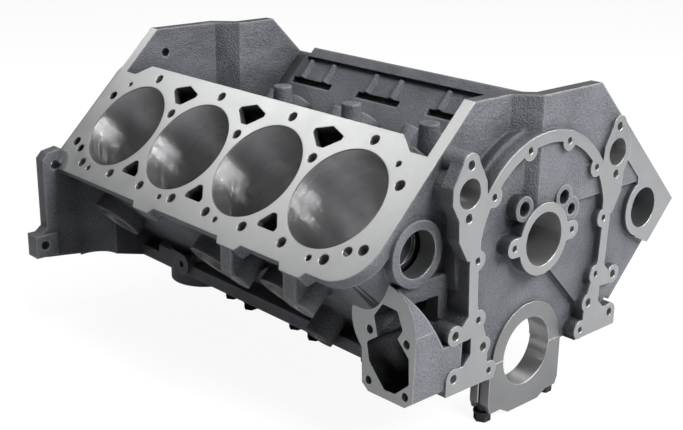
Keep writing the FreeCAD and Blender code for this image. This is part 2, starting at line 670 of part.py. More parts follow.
def side_features():
    """Core plug bosses and engine mount bosses on the outer walls, and the ribs above them."""
    solids, holes = [], []
    for side in SIDES:
        name = side_name(side)
        for number, y in enumerate(("160", "270", "450"), start=1):
            along = f"{side} * ({bank_middle(side)} - ({y if side == LEFT else y + ' - bank_stagger'}))"
            solids.append(side_boss(f"{name}_plug_boss_{number}", side, "plug_ring - 3", along,
                                    "side_plug_height",
                                    "side_plug_face", "side_plug_face - outer_wall + 4"))
            holes.append(side_boss(f"{name}_plug_hole_{number}", side, "plug_hole", along, "side_plug_height",
                                   "side_plug_face + 1", "side_plug_face - outer_wall + 12"))
        mounts = [("front", "front_tab", "196"), ("rear", "middle_tab", "196"),
                  ("lower", "(front_tab + middle_tab) / 2", "108")]
        for label, y, height in mounts:
            along = f"{side} * ({LEFT_MIDDLE} - ({y}))"
            solids.append(side_boss(f"{name}_{label}_mount", side, "mount_boss", along, height, "mount_face",
                                    "mount_face - outer_wall + 6"))
            holes.append(side_boss(f"{name}_{label}_mount_hole", side, "mount_hole", along, height,
                                   "mount_face + 1", "24"))
    return solids, holes


def mount_pillars():
    """The ribs that run down from the deck's tabs to the engine mount bosses."""
    ribs = []
    for side in SIDES:
        for label, middle in (("front", "front_tab"), ("rear", "middle_tab")):
            y = middle if side == LEFT else f"({TURN} - ({middle}))"
            corners = mirror([("pillar_out", "105"), ("pillar_out", "82"), ("198", "72"), ("165", "80"),
                              ("165", "112"), ("200", "121")], side)
            ribs.append(cross_slab(f"{side_name(side)}_{label}_pillar", corners, f"{y} - pillar_half",
                                   f"{y} + pillar_half"))
    return ribs


def filter_boss():
    """The oil filter's round pad beside the fourth main bearing, and the small boss above it."""
    pad = rod("filter_pad", "filter_pad", "filter_top + filter_drop",
              ("-filter_out", "filter_back", "-filter_drop"), (0, 0, 1))
    small = rod("linkage_boss", "24", "30", ("-130", "linkage_back", "linkage_height"), (1, 0, 0))
    ledge = cross_slab("linkage_ledge", [("-124.4", "8"), ("-124.4", "17"), ("-104", "34"), ("-100", "8")],
                       "378", "440")
    return [pad, small, ledge]


def rear_gussets():
    """The rear bulkhead's corners, swept into the flange by a wide hollow."""
    items = []
    for side in SIDES:
        name = side_name(side)
        body = mirror([("gusset_out", "5.6"), ("rail_half", "-rail_drop"), ("100", "-rail_drop"),
                       ("100", "90"),
                       ("gusset_out", "80")], side)
        sweep = mirror([("gusset_out - 1", "5.6"), ("gusset_out + gusset_round", "3"),
                        ("gusset_out + gusset_round", "118"),
                        ("gusset_out - 1", "118")], side)
        front = "block_length - flange - gusset_round"
        wedge = cross_slab(name + "_gusset_sweep", sweep, front, "block_length - flange + 1")
        hollow = rod(name + "_gusset_hollow", "2 * gusset_round", "160",
                     (f"{side} * (gusset_out + gusset_round)", front, "-20"), (0, 0, 1))
        items += [cross_slab(name + "_gusset", body, front, "block_length - flange + 1"),
                  cut(name + "_gusset_curve", wedge, hollow)]
    return items


# Rear end
FLANGE_BOLTS = [("66", "221"), ("214", "114"), ("234", "26")]


def bell_flange():
    half = [("112", "-rail_drop"), ("143", "-2"), ("166", "2"), ("212", "8"), ("229", "10"),
            ("ear_out", "13"),
            ("ear_out", "38"), ("236", "38"), ("flange_half", "44"), ("flange_half", "121"), ("222", "128"),
            ("206", "131"), ("198", "125.8"), ("120", "203.8"), ("92", "222"), ("78", "236"), ("40", "238")]
    corners = mirror(half, RIGHT) + mirror(half[::-1], LEFT)
    plate = cross_slab("bell_flange", corners, "block_length - flange", "block_length")
    ears = [box(f"{side_name(side)}_ear", (low, "block_length - flange - 4", "12.5"),
                (high, "block_length", "38"))
            for side, low, high in ((LEFT, "-ear_out", "-218"), (RIGHT, "218", "ear_out"))]
    return [plate] + ears


def line_bores():
    """The bores that run the whole length, and the seal's recess behind the last main bearing."""
    crank = lengthwise_rod("crank_line", "crank_bore", "0", "0", "-2", "block_length + 2")
    seal = lengthwise_rod("seal_recess", "seal_bore", "0", "0", "block_length - flange + 3",
                          "block_length + 2")
    return [fuse("crank_bores", [crank, seal]),
            lengthwise_rod("cam_line", "cam_bore", "0", "cam_height", "-2", "block_length + 2")]


def front_holes():
    """Drilled holes and ports in the machined faces of the front end."""
    holes = [lengthwise_rod("right_plug", "plug_hole", "right_plug_x", "right_plug_z", f"{RIGHT_FRONT} - 4",
                            f"{RIGHT_FRONT} + 24"),
             lengthwise_rod("left_plug", "plug_hole + 1.5", "-left_plug_x", "left_plug_z",
                            f"{LEFT_FRONT} - left_plug_proud - 1", f"{LEFT_FRONT} + 24")]
    for side in SIDES:
        name = side_name(side)
        for number, (x, z) in enumerate(COVER_BOLTS):
            holes.append(lengthwise_rod(f"{name}_cover_hole_{number + 1}", "cover_hole", f"{side} * {x}", z,
                                        "-1", "cover_depth"))
        for number, (x, z) in enumerate(MOUNT_BOLTS):
            holes.append(lengthwise_rod(f"{name}_mount_hole_{number + 1}", "pump_hole", f"{side} * {x}", z,
                                        "-1", "front_back + 2"))
        for label in ("pump_upper", "pump_lower"):
            holes.append(lengthwise_rod(f"{name}_{label}_hole", "pump_hole", f"{side} * pump_half", label,
                                        "-1", "22"))
        holes.append(lengthwise_rod(f"{name}_pump_port", "pump_port", f"{side} * pump_half",
                                    "pump_port_height",
                                    "-1", "front_back + 6"))
        holes.append(lengthwise_rod(f"{name}_retainer_hole", "cover_hole", f"{side} * 41.5", "cam_height",
                                    "-1", "20"))
        holes.append(lengthwise_rod(f"{name}_gallery_hole", "gallery", f"{side} * 28.5", "148.5", "-1", "60"))
    holes.append(lengthwise_rod("third_gallery_hole", "gallery - 3", "40.5", "134.8", "-1", "60"))
    return holes


def rear_holes():
    return [lengthwise_rod(f"{side_name(side)}_flange_hole_{number + 1}", "flange_hole", f"{side} * {x}", z,
                           "block_length - flange - 6", "block_length + 1")
            for side in SIDES for number, (x, z) in enumerate(FLANGE_BOLTS)]


def cap_registers():
    """The notches across the main webs that the bearing caps locate in."""
    items = []
    for number, (half, front, back) in enumerate(cap_places(), start=1):
        items.append(box(f"cap_register_{number}", (f"-{half}", f"{front} - 2", "-60"),
                         (half, f"{back} + 2", "0")))
    return items


def block_casting():
    """The casting: its masses joined stage by stage, then its spaces and holes cut the same way."""
    side_solids, side_holes = side_features()
    walls = fuse("end_walls", [end_wall("front_valley_wall", False), end_wall("rear_valley_wall", True)])
    left_ring = lengthwise_rod("left_plug_ring", "plug_ring + 1", "-left_plug_x", "left_plug_z",
                               f"{LEFT_FRONT} - left_plug_proud", f"{LEFT_FRONT} + 14")
    stages = [("banks", bank_solids(LEFT) + bank_solids(RIGHT)), ("crankcase", crankcase() + posts()),
              ("front_end", cover_rail() + pump_pad(LEFT) + pump_pad(RIGHT) + front_plate()),
              ("front_faces", right_face() + [left_ring, fuel_pad()]),
              ("rear_end", bell_flange() + rear_gussets()),
              ("valley", [common("valley_walls", walls, roof_prism())]),
              ("outer_sides", side_solids + mount_pillars() + filter_boss())]
    casting = None
    for name, items in stages:
        casting = fuse("with_" + name, items if casting is None else [casting] + items)
    tools = bays() + cap_registers() + side_holes + line_bores() + front_holes() + [fuel_window()]
    tools += rear_holes() + side_holes_left() + cap_bolt_holes("block", "-1", "inner_grip + 4")
    for side in SIDES:
        tools += [jacket(side)] + bores(side) + deck_holes(side) + water_holes(side) + lifter_bores(side)
        tools += pushrod_slots(side)
    casting = cut("casting", casting, fuse("spaces", tools))
    casting.Label = "block_casting"
    return casting


def cap_bolt(name, x, y, drop, grip):
    """A flanged hexagon bolt whose seat lies under a bearing cap."""
    head = doc.addObject("Part::Prism", name + "_head")
    head.Polygon = 6
    bind(head, Circumradius="bolt_head / 2 / cos(30 deg)", Height="head_height + 0.5")
    place(head, ("0", "0", "-washer_height - head_height"))
    washer = rod(name + "_flange", "bolt_washer", "washer_height", ("0", "0", "-washer_height"), (0, 0, 1))
    shank = rod(name + "_shank", "bolt_shank", f"{drop} + {grip} - 2 + 1", ("0", "0", "-1"), (0, 0, 1))
    tip = cone(name + "_tip", "bolt_shank", "bolt_shank - 3", "2", ("0", "0", f"{drop} + {grip} - 2"),
               (0, 0, 1))
    bolt = fuse(name, [head, washer, shank, tip])
    place(bolt, (x, y, f"-{drop}"))
    bolt.Label = name
    return bolt


def body_sketch(body, name, plane):
    """An empty sketch on one of a body's own origin planes."""
    sketch = body.newObject("Sketcher::SketchObject", name)
    faces = [feature for feature in body.Origin.OriginFeatures if feature.Role == plane]
    sketch.AttachmentSupport = (faces[0], [""])
    sketch.MapMode = "FlatFace"
    return sketch


def pin(sketch, kind, index, point, text):
    number = sketch.addConstraint(Sketcher.Constraint(kind, index, point, 1.0))
    sketch.setExpression(f"Constraints[{number}]", formula(text))


def cap_profile(sketch, corners):
    """The right half of a cap's outline and its mirror image, down from the joint face."""
    points = [(f"-({x})", z) for x, z in corners[::-1]] + corners
    total = len(points)
    for index in range(total):
        sketch.addGeometry(Part.LineSegment(Vector(index, -10, 0), Vector(index + 1, -11, 0)), False)
    for index in range(total):
        sketch.addConstraint(Sketcher.Constraint("Coincident", index, 2, (index + 1) % total, 1))
    for index, (x, z) in enumerate(points):
        pin(sketch, "DistanceX", index, 1, x)
        pin(sketch, "DistanceY", index, 1, z)


def pocket_circles(body, name, plane, circles):
    """Cut round holes right through a body, each given by its centre and diameter."""
    sketch = body_sketch(body, name + "_outline", plane)
    for index, (x, y, diameter) in enumerate(circles):
        sketch.addGeometry(Part.Circle(Vector(index * 20 + 5, -10, 0), Vector(0, 0, 1), 5), False)
        pin(sketch, "DistanceX", index, 3, x)
        pin(sketch, "DistanceY", index, 3, y)
        size = sketch.addConstraint(Sketcher.Constraint("Diameter", index, 10.0))
        sketch.setExpression(f"Constraints[{size}]", formula(diameter))
    pocket = body.newObject("PartDesign::Pocket", name)
    pocket.Profile = sketch
    pocket.Type = "ThroughAll"
    pocket.Midplane = True
    body.Tip = pocket
    doc.recompute()
    return pocket


NARROW_CAP = [("cap_half", "0"), ("cap_half", "-cap_drop + 8"), ("cap_half - 3", "-cap_drop"),
              ("34", "-cap_drop"), ("22", "-cap_arch")]
WIDE_CAP = [("wide_half", "0"), ("wide_half", "-wide_drop"), ("60", "-wide_drop"),
            ("56", "-cap_drop"), ("34", "-cap_drop"), ("22", "-cap_arch")]
REAR_CAP = [("rear_cap_half", "0"), ("rear_cap_half", "-cap_drop + 14"),
            ("rear_cap_half - 6", "-cap_drop"), ("34", "-cap_drop"), ("22", "-cap_arch")]


def main_cap(number, half, front, back):
    """One main bearing cap: a padded outline with its bolt holes."""
    name = f"main_cap_{number}"
    body = doc.addObject("PartDesign::Body", name)
    body.Label = name
    place(body, ("0", back, "0"))
    corners = {"cap_half": NARROW_CAP, "wide_half": WIDE_CAP, "rear_cap_half": REAR_CAP}[half]
    sketch = body_sketch(body, name + "_outline", "XZ_Plane")
    cap_profile(sketch, corners)
    pad = body.newObject("PartDesign::Pad", name + "_pad")
    pad.Profile = sketch
    bind(pad, Length=f"({back}) - ({front})")
    doc.recompute()
    pocket_circles(body, name + "_bearing", "XZ_Plane", [("0", "0", "crank_bore")])
    spots = ["inner_bolt"] + (["outer_bolt"] if half == "wide_half" else [])
    middle = f"-(({back}) - ({front})) / 2"
    pocket_circles(body, name + "_bolt_holes", "XY_Plane",
                   [(f"{side} * {spot}", middle,
                     "bolt_shank + bolt_fit") for side in SIDES for spot in spots])
    return body


def main():
    os.makedirs(PARTS_FOLDER, exist_ok=True)
    pieces = [block_casting()]
    pieces += [main_cap(number, *faces) for number, faces in enumerate(cap_places(), start=1)]
    pieces += [cap_bolt(*bolt) for bolt in cap_bolts()]
    doc.recompute()
    broken = [item.Name for item in doc.Objects if {"Invalid", "Error"} & set(item.State)]
    if broken:
        raise RuntimeError("these objects failed: " + ", ".join(broken))
    for piece in pieces:
        shape = piece.Shape
        if shape.isNull() or not shape.isValid() or len(shape.Solids) != 1:
            raise RuntimeError("this piece has no single sound solid: " + piece.Label)
    for piece in pieces:
        piece.Shape.exportStep(os.path.join(PARTS_FOLDER, piece.Label + ".step"))
        print(piece.Label, round(piece.Shape.Volume / 1000, 2), "cm3")


main()
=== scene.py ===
import json
import math

import bpy
import numpy as np
from mathutils import Matrix, Vector

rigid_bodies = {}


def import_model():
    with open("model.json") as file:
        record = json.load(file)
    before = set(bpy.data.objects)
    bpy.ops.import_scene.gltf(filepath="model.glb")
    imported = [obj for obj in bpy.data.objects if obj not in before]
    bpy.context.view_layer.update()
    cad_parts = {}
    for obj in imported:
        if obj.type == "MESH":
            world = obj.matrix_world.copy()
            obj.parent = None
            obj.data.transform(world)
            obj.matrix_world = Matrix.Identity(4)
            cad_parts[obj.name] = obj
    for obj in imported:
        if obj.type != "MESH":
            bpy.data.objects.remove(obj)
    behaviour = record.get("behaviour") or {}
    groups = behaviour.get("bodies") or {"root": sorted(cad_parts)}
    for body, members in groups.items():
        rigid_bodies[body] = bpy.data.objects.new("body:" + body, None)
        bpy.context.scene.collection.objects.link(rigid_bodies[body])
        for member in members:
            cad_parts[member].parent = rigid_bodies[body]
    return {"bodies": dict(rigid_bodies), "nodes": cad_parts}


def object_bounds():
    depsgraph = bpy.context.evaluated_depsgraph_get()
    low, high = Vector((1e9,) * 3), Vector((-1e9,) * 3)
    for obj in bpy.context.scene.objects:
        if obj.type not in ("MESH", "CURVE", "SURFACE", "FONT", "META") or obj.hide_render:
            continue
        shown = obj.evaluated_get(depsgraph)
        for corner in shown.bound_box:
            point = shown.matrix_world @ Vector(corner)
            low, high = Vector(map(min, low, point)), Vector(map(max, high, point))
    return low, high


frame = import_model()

# Looks of a bare V8 engine block: sand-cast iron with milled faces and honed cylinder bores.
# +Z is up and +Y runs rearward along the crankshaft. The origin is on its axis, in the front face.

# Blender's start file may hold a cube, a lamp and a camera
KEPT = set(frame["nodes"].values()) | set(frame["bodies"].values())
for item in list(bpy.data.objects):
    if item not in KEPT and item.type in ("MESH", "LIGHT", "CAMERA"):
        bpy.data.objects.remove(item)
CAD_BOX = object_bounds()

# Sizes of the block, in millimetres
MM = 0.001
HALF_ROOT = math.sqrt(0.5)
LEFT, RIGHT = -1, 1
BLOCK_LENGTH = 517.0
DECK_HEIGHT = 229.2
WALL_TOP = 248.3
BORE_RADIUS = 50.8
BORE_PITCH = 111.76
BORES_IN_BANK = 4
FIRST_BORE = {LEFT: 102.3, RIGHT: 79.95}
CRANK_BORE_RADIUS = 33.54
CAM_BORE_RADIUS = 25.65
CAM_HEIGHT = 114.83
WEB_FRONT = 11.2
STRIP_FRONT = 2.34
SEAL_RECESS = 505.0
PAN_RAIL_DROP = 3.7
FUEL_PUMP_FACE = 164.0
SIDE_PLUG_FACE = 83.0
MOUNT_FACE = 95.5
RIGHT_PLUG = (161.2, 0.0, 110.8)
RIGHT_PLUG_RADIUS = 20.65
LEFT_PLUG = (-144.0, 0.0, 128.5)
LEFT_PLUG_RADIUS = 21.4

# The pocket behind the fuel pump's window, whose faces get a much darker copy of the cast finish as painted
# shade, in millimetres
PUMP_POCKET = np.array((-143.0, 40.0, 44.5))
PUMP_POCKET_REACH = np.array((44.0, 45.0, 48.0))
PUMP_POCKET_FRONT = 24.0

# What counts as a drilled hole with a bright wall, in millimetres. The flange's own holes stay dull.
WIDEST_DRILLING = 45.0
DEEPEST_DRILLING = 45.0
LAST_BRIGHT_DRILLING = 480.0
FEWEST_RIM_CORNERS = 9
RIM_SLACK = 0.2

# How closely a face has to lie on a plane or on a round wall, in millimetres, and face its way
LEVEL_SLACK = 0.2
WALL_SLACK = 0.4
DRILLED_WALL_SLACK = 0.3
FACING = 0.9995
FACING_AXIS = 0.97
FACING_POCKET = 0.2

# Roundings that the light finds on edges, in metres
CAST_ROUNDING = 0.0038
MILLED_ROUNDING = 0.0011
CAP_ROUNDING = 0.0012
BOLT_ROUNDING = 0.0006

# Hone marks: their angle to the bore's cross section, their steepness, and their sizes in metres
HONING_ANGLE = math.radians(12)
SCRATCH_SLOPE = 4.2
SCRATCH_WIDTH = 0.0003
CROSSING_WIDTH = 0.0002
CROSSINGS_PER_RADIAN = 300.0

# Colour of milled broken edges: partly deburring wear, partly a painted highlight
BROKEN_EDGE_AND_HIGHLIGHT = (0.62, 0.62, 0.62)
# Painted shade: the near-black colour that corners and recesses of the cast iron are darkened towards
CORNER_SHADE_COLOUR = (0.016, 0.017, 0.02)
WHITE = (1.0, 1.0, 1.0, 1.0)

# The two inputs and the output of a Mix node for each kind of value
MIX_SOCKETS = {"RGBA": (6, 7, 2), "VECTOR": (4, 5, 1)}


def bank_axis(side):
    """The direction of a bank's bores, up from the crankshaft."""
    return side * HALF_ROOT, 0.0, HALF_ROOT


class Value:
    """A socket of a finish's nodes that can be used in sums."""

    def __init__(self, finish, socket):
        self.finish, self.socket = finish, socket

    def __add__(self, other):
        return self.finish.sum("ADD", self, other)

    def __sub__(self, other):
        return self.finish.sum("SUBTRACT", self, other)

    def __mul__(self, other):
        return self.finish.sum("MULTIPLY", self, other)

    def __truediv__(self, other):
        return self.finish.sum("DIVIDE", self, other)

    def __rsub__(self, other):
        return self.finish.sum("SUBTRACT", other, self)

    __radd__ = __add__
    __rmul__ = __mul__

    def clipped(self):
        return self.finish.sum("MAXIMUM", self.finish.sum("MINIMUM", self, 1.0), 0.0)


class Finish:
    """One material, or the world, as a tree of shader nodes."""

    def __init__(self, name, world=None):
        self.owner = world or bpy.data.materials.new(name)
        self.owner.use_nodes = True
        self.tree = self.owner.node_tree
        self.tree.nodes.clear()

    def node(self, kind, settings=None, sockets=None, output=0):
        """Add a node: its settings first, then a value or a link for each socket."""
        made = self.tree.nodes.new("ShaderNode" + kind)
        for name, value in (settings or {}).items():
            setattr(made, name, value)
        for name, value in (sockets or {}).items():
            if isinstance(value, Value):
                self.tree.links.new(value.socket, made.inputs[name])
            else:
                made.inputs[name].default_value = value
        return Value(self, made.outputs[output]) if made.outputs else None

    def sum(self, operation, first, second):
        return self.node("Math", {"operation": operation}, {0: first, 1: second})

    def vector(self, operation, first, second=None, output="Vector"):
        """One step of arithmetic with directions; SCALE takes a number as its second value."""
        sockets = {0: first}
        if second is not None:
            sockets["Scale" if operation == "SCALE" else 1] = second
        return self.node("VectorMath", {"operation": operation}, sockets, output)

    def mix(self, kind, factor, first, second):
        low, high, output = MIX_SOCKETS[kind]
        return self.node("Mix", {"data_type": kind}, {0: factor, low: first, high: second}, output)

    def blend(self, factor, first, second):
        """Two colours, mixed by a factor."""
        colours = [(*value, 1.0) if isinstance(value, tuple) else value for value in (first, second)]
        return self.mix("RGBA", factor, *colours)

    def place(self):
        return self.node("TexCoord", output="Object")

    def parts(self, vector):
        """The three coordinates of a place."""
        first = self.node("SeparateXYZ", None, {0: vector})
        return [Value(self, socket) for socket in first.socket.node.outputs]

    def surface(self):
        """The true direction that the surface faces."""
        return self.node("NewGeometry", output="Normal")

    def noise(self, size, detail=2.0, roughness=0.5):
        """Cloudy variation from 0 to 1 whose lumps are about one size across."""
        return self.node("TexNoise", None, {"Vector": self.place(), "Scale": 1.0 / size,
                                            "Detail": detail, "Roughness": roughness})

    def scratches(self, position):
        """Hair lines across one direction."""
        return self.node("TexNoise", {"noise_dimensions": "1D"}, {"W": position, "Scale": 1.0, "Detail": 2.0})

    def between(self, value, low, high):
        """0 below low, 1 above high, and a straight rise between."""
        return self.node("MapRange", {"clamp": True}, {0: value, 1: low, 2: high})

    def rounded(self, radius):
        return self.node("Bevel", {"samples": 4}, {"Radius": radius})

    def edge_wear_and_highlight(self, rounded):
        """1 where the rounded surface turns away from the true one, 0 on flats; used to lighten edges, partly
        as wear and partly as a painted highlight.
        """
        alike = self.vector("DOT_PRODUCT", rounded, self.surface(), output="Value")
        return self.between(1.0 - alike, 0.01, 0.16)

    def painted_corner_shade(self, reach):
        """Painted shade: 0 on open surfaces, rising towards 1 deep in corners and recesses, where shade
        falls.
        """
        open_share = self.node("AmbientOcclusion", {"samples": 6}, {"Distance": reach}, output="AO")
        return 1.0 - self.between(open_share, 0.25, 0.95)

    def bump(self, height, normal, distance, strength=1.0):
        return self.node("Bump", None, {"Height": height, "Normal": normal,
                                        "Distance": distance, "Strength": strength})

    def metal(self, colour, roughness, normal, metallic):
        self.show(self.node("BsdfPrincipled", None, {"Base Color": colour, "Roughness": roughness,
                                                     "Normal": normal, "Metallic": metallic}))
        return self.owner

    def seen(self):
        """1 for what the eye meets, 0 for what only sheds light."""
        return self.node("LightPath", output="Is Camera Ray")

    def show(self, shader):
        kind = "OutputWorld" if isinstance(self.owner, bpy.types.World) else "OutputMaterial"
        self.node(kind, None, {"Surface": shader})


def sand_cast(name, dark, light, edge):
    """Iron as it leaves a sand mould: grainy, softly lumpy and rounded on every edge."""
    cast = Finish(name)
    grain = cast.noise(size=0.0017, detail=3.0, roughness=0.6)
    pits = cast.noise(size=0.0055)
    clouds = cast.noise(size=0.055, detail=3.0)
    swells = cast.noise(size=0.045, detail=1.0)
    soft = cast.rounded(CAST_ROUNDING)
    wear_and_highlight = cast.edge_wear_and_highlight(soft)
    tone = (cast.between(clouds, 0.3, 0.7) * 0.35 + cast.between(grain, 0.3, 0.72) * 0.65).clipped()
    colour = cast.blend(tone, dark, light)
    # rounded edges painted lighter: partly wear, partly a painted highlight
    colour = cast.blend(wear_and_highlight * 0.5, colour, edge)
    # painted shade: corners and recesses are darkened, where shade falls
    colour = cast.blend(cast.painted_corner_shade(reach=0.06) * 0.9, colour, CORNER_SHADE_COLOUR)
    uneven = cast.bump(swells, soft, distance=0.008)
    relief = cast.bump(grain + pits * 0.35, uneven, distance=0.0017)
    roughness = 0.4 + cast.between(grain, 0.25, 0.75) * 0.2 - wear_and_highlight * 0.06
    return cast.metal(colour, roughness, relief, metallic=0.25)


def milled(name, dark, light, roughness, rounding=MILLED_ROUNDING):
    """A face cut by a milling head: flat, satin, with faint tool marks and broken edges painted bright,
    partly as wear and partly as a painted highlight.
    """
    face = Finish(name)
    marks = face.noise(size=0.0011)
    patches = face.noise(size=0.03, detail=3.0)
    soft = face.rounded(rounding)
    wear_and_highlight = face.edge_wear_and_highlight(soft)
    tone = (face.between(patches, 0.3, 0.7) * 0.6 + face.between(marks, 0.35, 0.65) * 0.4).clipped()
    colour = face.blend(tone, dark, light)
    # broken edges painted lighter: partly deburring wear, partly a painted highlight
    colour = face.blend(wear_and_highlight * 0.8, colour, BROKEN_EDGE_AND_HIGHLIGHT)
    relief = face.bump(marks, soft, distance=0.00006, strength=0.5)
    return face.metal(colour, roughness + face.between(patches, 0.3, 0.7) * 0.08, relief, metallic=0.9)


def honed(name, side):
    """A cylinder wall on one bank with the fine crossed scratches of a hone, which run nearly round it."""
    wall = Finish(name)
    x, y, z = wall.parts(wall.place())
    down = (z + x * side) * HALF_ROOT
    across = (z - x * side) * HALF_ROOT
    steps = (y - FIRST_BORE[side] * MM) / (BORE_PITCH * MM)
    along = (steps - wall.sum("ROUND", steps, 0.0)) * (BORE_PITCH * MM)
    angle = wall.sum("ARCTAN2", across, along)
    lean = math.tan(HONING_ANGLE)
    flat = wall.surface()
    round_way = wall.vector("CROSS_PRODUCT", bank_axis(side), flat)
    leaning = []
    for turn in (1, -1):
        groove = wall.scratches((down + angle * (lean * turn * BORE_RADIUS * MM)) / SCRATCH_WIDTH)
        steepest = wall.vector("ADD", bank_axis(side), wall.vector("SCALE", round_way, turn * lean))
        slope = wall.vector("SCALE", steepest, (groove - 0.5) * SCRATCH_SLOPE)
        leaning.append(wall.vector("ADD", flat, slope))
    crossing = wall.scratches(down / CROSSING_WIDTH + angle * CROSSINGS_PER_RADIAN)
    tilted = wall.mix("VECTOR", wall.between(crossing, 0.49, 0.51), *leaning)
    patches = wall.noise(size=0.02)
    colour = wall.blend(wall.between(patches, 0.3, 0.7), (0.54, 0.54, 0.55), (0.62, 0.62, 0.63))
    return wall.metal(colour, 0.27, wall.vector("NORMALIZE", tilted), metallic=1.0)


def oxide(name):
    """Black oxide on a steel bolt, rubbed a little brighter on its edges."""
    steel = Finish(name)
    soft = steel.rounded(BOLT_ROUNDING)
    wear_and_highlight = steel.edge_wear_and_highlight(soft)
    film = steel.noise(size=0.004, detail=3.0)
    colour = steel.blend(steel.between(film, 0.3, 0.7), (0.018, 0.018, 0.02), (0.035, 0.035, 0.038))
    colour = steel.blend(wear_and_highlight * 0.5, colour, (0.12, 0.12, 0.125))
    relief = steel.bump(film, soft, distance=0.0001, strength=0.4)
    return steel.metal(colour, 0.36 + film * 0.12, relief, metallic=0.8)


FINISHES = {
    # The last colour of each cast finish lightens its rounded edges: partly wear, partly a painted highlight
    "cast": sand_cast("sand_cast_iron", (0.05, 0.054, 0.063), (0.18, 0.188, 0.21), (0.42, 0.42, 0.43)),
    # painted shade: a much darker copy of the cast finish, for the faces inside the pump's pocket
    "shaded": sand_cast("cast_iron_painted_pocket_shade", (0.006, 0.006, 0.007), (0.022, 0.023, 0.026), (0.04, 0.04, 0.042)),
    "milled": milled("milled_iron", (0.235, 0.24, 0.245), (0.3, 0.306, 0.311), 0.36),
    "deck": milled("milled_decks", (0.42, 0.425, 0.425), (0.5, 0.505, 0.505), 0.34),
    "drilled": milled("drilled_iron", (0.5, 0.5, 0.5), (0.6, 0.6, 0.6), 0.3),
    "honed_left": honed("honed_left_bores", LEFT),
    "honed_right": honed("honed_right_bores", RIGHT),
    "cap": milled("cap_iron_milled", (0.17, 0.173, 0.178), (0.22, 0.224, 0.23), 0.38, CAP_ROUNDING),
    "bolt": oxide("black_oxide_steel"),
}
CASTING_FINISHES = ["cast", "milled", "deck", "honed_left", "honed_right", "drilled", "cap", "shaded"]
CAP_FINISHES = ["cap", "drilled"]

FORWARD, REARWARD = (0.0, -1.0, 0.0), (0.0, 1.0, 0.0)
UPWARD, DOWNWARD = (0.0, 0.0, 1.0), (0.0, 0.0, -1.0)
LEFTWARD = (-1.0, 0.0, 0.0)
ORIGIN = (0.0, 0.0, 0.0)

# Machined flat faces of the casting: outward normal, distance from the origin along it, and finish
FLAT_FACES = [
    (FORWARD, 0.0, "milled"),
    (FORWARD, -STRIP_FRONT, "milled"),
    (FORWARD, -WEB_FRONT, "cap"),
    (REARWARD, BLOCK_LENGTH, "milled"),
    (REARWARD, SEAL_RECESS, "milled"),
    (DOWNWARD, PAN_RAIL_DROP, "milled"),
    (DOWNWARD, 0.0, "milled"),
    (UPWARD, WALL_TOP, "milled"),
    (LEFTWARD, FUEL_PUMP_FACE, "milled"),
]
# Machined round walls: a point of the axis, the axis's direction, radius, and finish
ROUND_FACES = [
    (ORIGIN, REARWARD, CRANK_BORE_RADIUS, "drilled"),
    ((0.0, 0.0, CAM_HEIGHT), REARWARD, CAM_BORE_RADIUS, "drilled"),
    (RIGHT_PLUG, REARWARD, RIGHT_PLUG_RADIUS, "milled"),
    (LEFT_PLUG, REARWARD, LEFT_PLUG_RADIUS, "milled"),
]
for bank, bore_finish in ((LEFT, "honed_left"), (RIGHT, "honed_right")):
    side_wall = (bank * HALF_ROOT, 0.0, -HALF_ROOT)
    FLAT_FACES.append((bank_axis(bank), DECK_HEIGHT, "deck"))
    FLAT_FACES.append((side_wall, SIDE_PLUG_FACE, "milled"))
    FLAT_FACES.append((side_wall, MOUNT_FACE, "milled"))
    for number in range(BORES_IN_BANK):
        middle = FIRST_BORE[bank] + number * BORE_PITCH
        ROUND_FACES.append(((0.0, middle, 0.0), bank_axis(bank), BORE_RADIUS, bore_finish))


def read_polygons(mesh):
    """Centres in millimetres and outward normals of a mesh's faces."""
    count = len(mesh.polygons)
    centres, normals = np.zeros(count * 3), np.zeros(count * 3)
    mesh.polygons.foreach_get("center", centres)
    mesh.polygons.foreach_get("normal", normals)
    return centres.reshape(-1, 3) / MM, normals.reshape(-1, 3)


def paint(mesh, finishes, chosen):
    """Put the finishes on a mesh; each of its faces has the number of its own."""
    mesh.materials.clear()
    for name in finishes:
        mesh.materials.append(FINISHES[name])
    mesh.polygons.foreach_set("material_index", chosen)
    mesh.update()


def on_round_wall(centres, normals, point, direction, radius, slack):
    """Which faces lie on a round wall and face its axis, and how far along the axis each face is."""
    offset = centres - np.array(point)
    along = offset @ np.array(direction)
    radial = offset - np.outer(along, direction)
    away = np.linalg.norm(radial, axis=1)
    inward = (normals * radial).sum(axis=1) < -FACING_AXIS * away
    return inward & (np.abs(away - radius) < slack), along


def join_corners(mesh):
    """The places of a mesh's corners in millimetres, each place once, and the place of each vertex."""
    corners = np.zeros(len(mesh.vertices) * 3)
    mesh.vertices.foreach_get("co", corners)
    places, joined = np.unique((corners.reshape(-1, 3) / MM).round(3), axis=0, return_inverse=True)
    return places, joined.ravel()


def follow_rims(mesh, joined, flat):
    """For each corner on the rim of a flat machined face, the next corners and that face."""
    edges = {}
    for polygon in mesh.polygons:
        corners = [int(joined[corner]) for corner in polygon.vertices]
        for start, end in zip(corners, corners[1:] + corners[:1]):
            edges.setdefault((min(start, end), max(start, end)), []).append(polygon.index)
    links = {}
    for (start, end), faces in edges.items():
        if len(faces) == 2 and flat[faces[0]] != flat[faces[1]]:
            face = faces[0] if flat[faces[0]] else faces[1]
            links.setdefault(start, []).append((end, face))
            links.setdefault(end, []).append((start, face))
    return links


